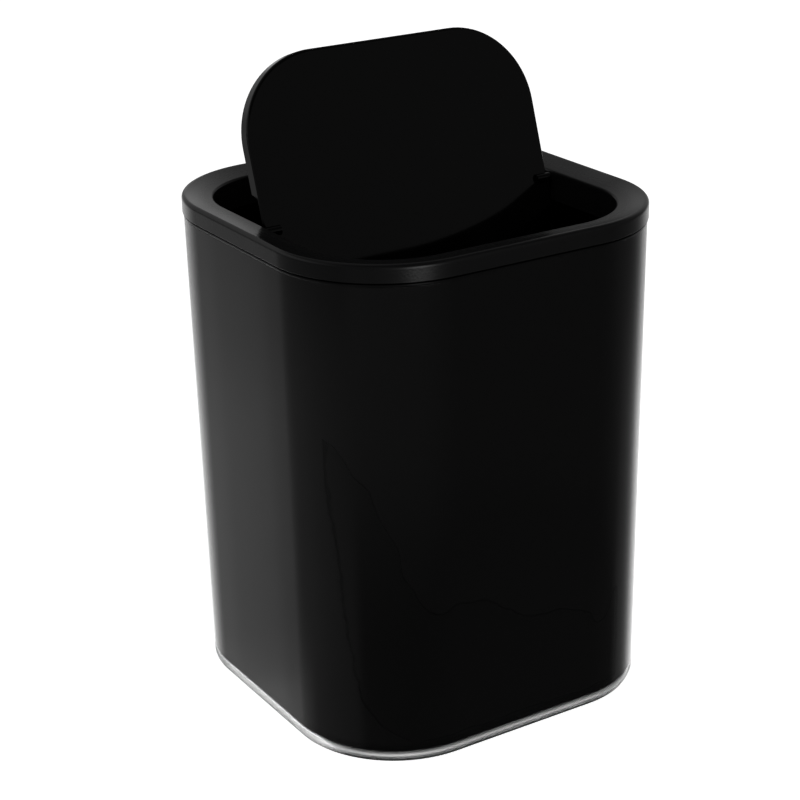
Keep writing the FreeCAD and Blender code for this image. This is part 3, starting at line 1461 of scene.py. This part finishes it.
@dataclass
class DarkRoom:
    """The light round the bin: white where the camera looks, a drawn light in a dark room for other rays.

    Directions are degrees from +X, seen from above. A side is the cosine of the angle to a direction, seen
    from above too, and a slope is the height that a ray of length 1 climbs.

    Attributes:
        level: brightness below the horizon, over the direction.
        back: the direction behind the bin.
        back_side: where the front's fade turns into the back's, over the side.
        front_fade: how the light in front weakens further down, over the slope.
        back_fade: how the light behind weakens towards the horizon, over the slope.
        left: the direction behind the bin on its left.
        left_side: how far round the left share reaches, over the side.
        left_share: share of the light there, over the slope.
        horizon_fade: how all of it weakens towards the horizon, over the slope.
        horizon_end: how it ends above the horizon, over the slope.
        lamp: the direction of the low soft lamp in front.
        lamp_light: brightness of that lamp, over the side.
        lamp_low: where the lamp starts, over the slope.
        lamp_high: where it ends, over the slope.
        room: the direction that the room is brighter towards.
        room_light: brightness of the room above the horizon, over the side.
        ceiling: how the room darkens further up, over the slope.
        ground: slopes between which the room starts.
        ground_light: brightness of the room below that.
        paper: brightness of the white that the camera sees.
        steep: least length of a ray's level part that a side is worked out with.
    """

    level: Curve = (
        (-180, 0.118), (-170, 0.11), (-152, 0.097), (-132, 0.09), (-110, 0.085), (-90, 0.08), (-63, 0.064),
        (-53, 0.057), (-40, 0.058), (-28, 0.07), (-20, 0.085), (-14, 0.117), (-8, 0.145), (0, 0.21),
        (7, 0.35), (12, 0.53), (21, 1.0), (32, 1.25), (60, 1.25), (90, 1.25), (98, 1.1), (108.6, 0.72),
        (113, 0.58), (115.6, 0.49), (117.8, 0.325), (122, 0.22), (130, 0.175), (142, 0.15), (160, 0.135),
        (180, 0.118),
    )
    back: float = 92.0
    back_side: Ramp = Ramp(-0.45, -0.2)
    front_fade: Ramp = Ramp(-0.50, -0.40, 0.6, 1.0)
    back_fade: Ramp = Ramp(-0.40, -0.30, 1.0, 0.62)
    left: float = 112.0
    left_side: Ramp = Ramp(0.8, 0.95)
    left_share: Curve = (
        (-0.515, 1.45), (-0.505, 1.3), (-0.495, 1.0), (-0.486, 0.9), (-0.47, 0.83), (-0.42, 0.87),
        (-0.36, 0.88), (-0.31, 1.0), (-0.2, 1.0),
    )
    horizon_fade: Ramp = Ramp(-0.25, 0.0, 1.0, 0.5)
    horizon_end: Ramp = Ramp(0.03, 0.12, 1.0, 0.0)
    lamp: float = 268.0
    lamp_light: Curve = (
        (0.75, 0.0), (0.86, 0.06), (0.93, 0.14), (0.965, 0.33), (0.985, 0.8), (0.995, 1.2), (1.0, 1.4),
    )
    lamp_low: Ramp = Ramp(-0.33, -0.27)
    lamp_high: Ramp = Ramp(0.05, 0.25, 1.0, 0.0)
    room: float = 95.0
    room_light: Ramp = Ramp(-0.25, 0.6, 0.085, 0.28)
    ceiling: Ramp = Ramp(0.5, 0.66, 1.0, 0.35)
    ground: tuple[float, float] = (-0.1, 0.1)
    ground_light: float = 0.05
    paper: float = 1.2
    steep: float = 0.001

    def build(self) -> None:
        """Sets up the world's light: the brighter of the drawn light and the room, plus the lamp."""
        world = bpy.data.worlds.new("studio")
        world.use_nodes = True
        bpy.context.scene.world = world
        wiring = Wiring(world.node_tree)
        axes = wiring.axes(wiring.add("ShaderNodeTexCoord").outputs["Generated"])
        slope = axes["Z"]
        lamp = wiring.product(
            wiring.curve(self.side(wiring, axes, self.lamp), self.lamp_light),
            wiring.ramp(slope, self.lamp_low),
            wiring.ramp(slope, self.lamp_high),
        )
        room = wiring.ramp(self.side(wiring, axes, self.room), self.room_light)
        room = wiring.product(room, wiring.ramp(slope, self.ceiling))
        room = wiring.ranged(slope, *self.ground, self.ground_light, room)
        bright = wiring.math("ADD", wiring.math("MAXIMUM", self.drawn_light(wiring, axes), room), lamp)
        seen = wiring.add("ShaderNodeLightPath").outputs["Is Camera Ray"]
        strength = wiring.math("MAXIMUM", bright, wiring.product(seen, self.paper))
        inputs = {"Color": (1.0, 1.0, 1.0, 1.0), "Strength": strength}
        background = wiring.add("ShaderNodeBackground", inputs)
        wiring.add("ShaderNodeOutputWorld", {"Surface": background.outputs["Background"]})

    def drawn_light(self, wiring: Wiring, axes: bpy.types.NodeOutputs) -> Socket:
        """Draws the light below the horizon.

        It is the level curve over the direction, times the fades of the front or the back, of the left
        and of the horizon.

        Args:
            wiring: the world's tree.
            axes: the ray's X, Y and Z.

        Returns:
            The brightness.
        """
        slope = axes["Z"]
        azimuth = wiring.math("DEGREES", wiring.math("ARCTAN2", axes["Y"], axes["X"]))
        behind = wiring.ramp(self.side(wiring, axes, self.back), self.back_side)
        left = wiring.ramp(self.side(wiring, axes, self.left), self.left_side)
        return wiring.product(
            wiring.curve(azimuth, self.level),
            wiring.mix(behind, wiring.ramp(slope, self.front_fade), wiring.ramp(slope, self.back_fade)),
            wiring.mix(left, 1.0, wiring.curve(slope, self.left_share)),
            wiring.ramp(slope, self.horizon_fade),
            wiring.ramp(slope, self.horizon_end),
        )

    def side(self, wiring: Wiring, axes: bpy.types.NodeOutputs, azimuth: float) -> Socket:
        """Measures how nearly a ray points to one side, seen from above.

        Args:
            wiring: the world's tree.
            axes: the ray's X, Y and Z.
            azimuth: the side, in degrees from +X.

        Returns:
            The cosine of the angle between them: the ray's part along the side, over its level length.
        """
        turn = math.radians(azimuth)
        level = wiring.math("SQRT", wiring.math("SUBTRACT", 1.0, wiring.product(axes["Z"], axes["Z"])))
        along_x = wiring.product(axes["X"], math.cos(turn))
        along_y = wiring.product(axes["Y"], math.sin(turn))
        along = wiring.math("ADD", along_x, along_y)
        return wiring.math("DIVIDE", along, wiring.math("MAXIMUM", level, self.steep))


@dataclass
class OverheadLight:
    """The square soft light overhead that shades the floor and shows in no reflection.

    Attributes:
        height: how high it hangs over the bin's middle.
        size: its side.
        power: its power in watts.
    """

    height: float = 2400.0
    size: float = 2200.0
    power: float = 8.0

    def build(self, target: Vector) -> None:
        """Hangs the light so that it faces the bin.

        Args:
            target: the point that it faces, in millimetres.
        """
        lamp = bpy.data.lights.new("overhead", "AREA")
        lamp.size = self.size * MM
        lamp.energy = self.power
        light = bpy.data.objects.new("overhead", lamp)
        light.location = Vector((0.0, 0.0, self.height)) * MM
        aim = target * MM - light.location
        light.rotation_euler = aim.to_track_quat("-Z", "Y").to_euler()
        light.visible_glossy = False
        light.visible_transmission = False
        bpy.context.scene.collection.objects.link(light)


@dataclass
class Viewpoint:
    """The camera, where the picture was taken from.

    Attributes:
        azimuth: its direction round the bin, 0 in front of it, in degrees.
        elevation: its height above the horizon, in degrees.
        roll: its tilt about its line of sight, in degrees.
        distance: from the camera to the target.
        target: the point that it looks at.
        lens: focal length for a 36 mm wide picture.
    """

    azimuth: float = -31.799
    elevation: float = 21.774
    roll: float = -1.232
    distance: float = 994.959
    target: tuple[float, float, float] = (-9.055, 0.329, 140.55)
    lens: float = 91.987

    def build(self) -> None:
        """Stands the camera up.

        Its back points from the target to it, its right is level before the roll, and the roll turns its
        right and its up about its back.
        """
        turn, rise, roll = (math.radians(v) for v in (self.azimuth, self.elevation, self.roll))
        back = Vector((math.sin(turn) * math.cos(rise), -math.cos(turn) * math.cos(rise), math.sin(rise)))
        right = Vector((0, 0, 1)).cross(back).normalized()
        up = back.cross(right)
        tilted = math.cos(roll) * right + math.sin(roll) * up
        upright = math.cos(roll) * up - math.sin(roll) * right
        camera = bpy.data.objects.new("camera", bpy.data.cameras.new("camera"))
        camera.data.lens = self.lens
        place = Matrix.Translation((Vector(self.target) + back * self.distance) * MM)
        camera.matrix_world = place @ Matrix((tilted, upright, back)).transposed().to_4x4()
        bpy.context.scene.collection.objects.link(camera)
        bpy.context.scene.camera = camera


@dataclass
class Studio:
    """Everything round the bin.

    Attributes:
        floor: what it stands on.
        card: what its flap and ring reflect.
        room: the light round it.
        light: the light overhead.
        camera: where it is seen from.
        bounces: how often light may bounce in the clear foot.
    """

    floor: PaleFloor = field(default_factory=PaleFloor)
    card: GlowCard = field(default_factory=GlowCard)
    room: DarkRoom = field(default_factory=DarkRoom)
    light: OverheadLight = field(default_factory=OverheadLight)
    camera: Viewpoint = field(default_factory=Viewpoint)
    bounces: int = 40

    def build(self) -> None:
        """Sets up the floor, the light, the camera and how the picture shows brightness."""
        self.floor.build()
        self.card.build()
        self.room.build()
        self.light.build(Vector(self.camera.target))
        self.camera.build()
        cycles = bpy.context.scene.cycles
        cycles.max_bounces = self.bounces
        cycles.glossy_bounces = self.bounces
        cycles.transmission_bounces = self.bounces
        settings = bpy.context.scene.view_settings
        settings.view_transform = "Standard"
        settings.look = "None"


def main() -> None:
    """Builds and dresses each sub-assembly, then the studio."""
    logging.basicConfig(level=logging.INFO, format="%(name)s: %(message)s")
    shell = ClearShell()
    parts = [shell, BlackLiner(shell), LidRing(), SwingFlap(), PivotPins(), FootPads()]
    for part in parts:
        part.build()
        part.dress()
        for piece in part.pieces:
            log.info("%s: %s, %d faces", type(part).__name__, piece.name, len(piece.data.polygons))
    Studio().build()


if __name__ == "__main__":
    main()
